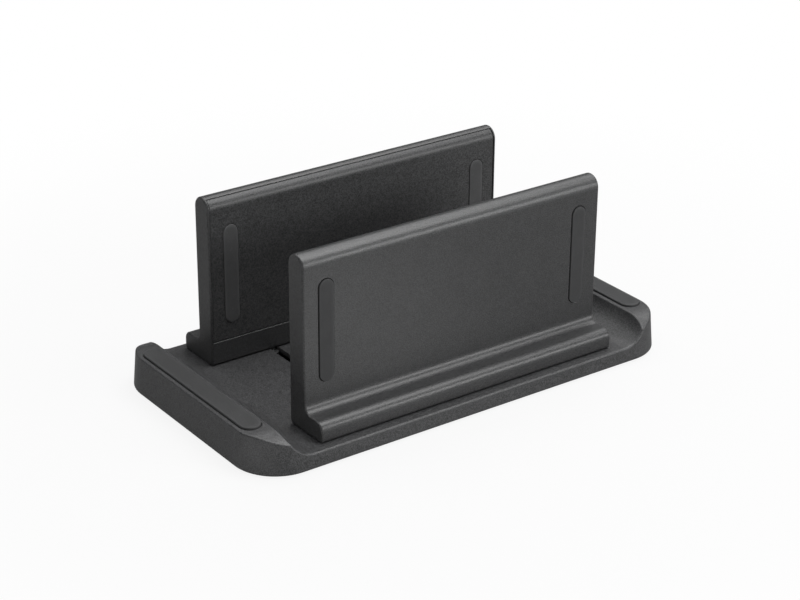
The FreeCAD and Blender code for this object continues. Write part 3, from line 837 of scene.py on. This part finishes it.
class HOLDER_OT_strips(bpy.types.Operator):
    """Make the rubber strips on both sides of the uprights"""

    bl_idname = "holder.strips"
    bl_label = "Rubber strips"

    def execute(self, context):
        colours, surfaces = context.scene.holder_colours, context.scene.holder_surfaces
        sizes = context.scene.holder_sizes
        outer_rubber = soft_rubber("strip_rubber", colours.rubber, surfaces)
        # The inner strips' rubber is the outer rubber painted lighter, as painted light in the bay's shade
        inner_rubber_painted_light = soft_rubber("inner_strip_rubber", colours.inner_rubber_painted_light, surfaces)
        profile = (sizes.strip_round, sizes.strip_shoulder, sizes.strip_fall)
        layers = (
            ("outer", outer_rubber, 1.0, sizes.strip_inset, sizes.strip_shift),
            ("inner", inner_rubber_painted_light, -1.0, 0.0, 0.0),
        )
        for upright, outwards in UPRIGHTS.items():
            for layer, rubber, way, inset, shift in layers:
                for side in SIDES:
                    rubber_piece(
                        f"{upright}_{layer}_strip_{side}", rubber, (Z, X, Y), way * outwards, profile,
                        sizes.cap_steps, inset=inset, shift=shift,
                    )
        return {"FINISHED"}


class HOLDER_OT_bar_pads(bpy.types.Operator):
    """Make the two long rubber pads on the tray's end bars"""

    bl_idname = "holder.bar_pads"
    bl_label = "Bar pads"

    def execute(self, context):
        scene = context.scene
        sizes = scene.holder_sizes
        material = soft_rubber("pad_rubber", scene.holder_colours.rubber, scene.holder_surfaces)
        profile = (sizes.pad_round, sizes.pad_shoulder, sizes.pad_fall)
        for side in SIDES:
            rubber_piece(side + "_bar_pad", material, (Y, X, Z), 1.0, profile, sizes.cap_steps, PAD_STEPS)
        return {"FINISHED"}


class HOLDER_OT_feet(bpy.types.Operator):
    """Make the four rubber feet under the tray"""

    bl_idname = "holder.feet"
    bl_label = "Rubber feet"

    def execute(self, context):
        scene = context.scene
        sizes = scene.holder_sizes
        material = soft_rubber("foot_rubber", scene.holder_colours.rubber, scene.holder_surfaces)
        shoulder, fall = sizes.foot_round * 4, sizes.foot_round / 4
        profile = (sizes.foot_round, shoulder, fall)
        for end in UPRIGHTS:
            for side in SIDES:
                foot = f"foot_{end}_{side}"
                rubber_piece(foot, material, (Y, X, Z), -1.0, profile, sizes.cap_steps, FOOT_STEPS)
        return {"FINISHED"}


class HOLDER_OT_hardware(bpy.types.Operator):
    """Finish the bottom plate, the screws, the clamps and the glides"""

    bl_idname = "holder.hardware"
    bl_label = "Plate, fasteners and glides"

    def execute(self, context):
        colours, surfaces = context.scene.holder_colours, context.scene.holder_surfaces
        dress(nodes_of("plate_steel"), powder_coat("plate_coat", colours.coat, surfaces))
        dress(nodes_of("screw_steel"), zinc_plate("fastener_zinc", colours.zinc, surfaces))
        dress(nodes_of("glide_plastic"), slippery_plastic("glide_wax", colours.glide, surfaces))
        return {"FINISHED"}


class HOLDER_OT_stage(bpy.types.Operator):
    """Set up the camera, the lights, the surroundings and the floor"""

    bl_idname = "holder.stage"
    bl_label = "Stage"

    def execute(self, context):
        stage = context.scene.holder_stage
        aim_camera(stage)
        for name, (direction, width, height) in SOFTBOXES.items():
            add_softbox(name + "_softbox", direction, width, height, getattr(stage, name + "_power"))
        studio_world(stage.world_strength)
        pale_floor(stage)
        context.scene.view_settings.view_transform = "Standard"
        return {"FINISHED"}


class HOLDER_PT_builder(bpy.types.Panel):
    """List of the holder's builders and of the values that they use"""

    bl_idname = "HOLDER_PT_builder"
    bl_label = "Mini PC Holder"
    bl_space_type = "VIEW_3D"
    bl_region_type = "UI"
    bl_category = "Holder"

    def draw(self, context):
        for operator in OPERATORS:
            self.layout.operator(operator.bl_idname)
        for key, group in GROUPS.items():
            column = self.layout.column()
            for value in group.__annotations__:
                column.prop(getattr(context.scene, key), value)


OPERATORS = (
    HOLDER_OT_tray,
    HOLDER_OT_uprights,
    HOLDER_OT_panels,
    HOLDER_OT_strips,
    HOLDER_OT_bar_pads,
    HOLDER_OT_feet,
    HOLDER_OT_hardware,
    HOLDER_OT_stage,
)
GROUPS = {
    "holder_colours": HolderColours,
    "holder_surfaces": HolderSurfaces,
    "holder_sizes": HolderSizes,
    "holder_stage": HolderStage,
}


def register():
    for key, group in GROUPS.items():
        bpy.utils.register_class(group)
        setattr(bpy.types.Scene, key, PointerProperty(type=group))
    for kind in OPERATORS + (HOLDER_PT_builder,):
        bpy.utils.register_class(kind)


def unregister():
    for kind in reversed(OPERATORS + (HOLDER_PT_builder,)):
        bpy.utils.unregister_class(kind)
    for key, group in GROUPS.items():
        delattr(bpy.types.Scene, key)
        bpy.utils.unregister_class(group)


def main():
    """Builds everything in order."""
    register()
    bpy.ops.holder.tray()
    bpy.ops.holder.uprights()
    bpy.ops.holder.panels()
    bpy.ops.holder.strips()
    bpy.ops.holder.bar_pads()
    bpy.ops.holder.feet()
    bpy.ops.holder.hardware()
    bpy.ops.holder.stage()


if __name__ == "__main__":
    main()
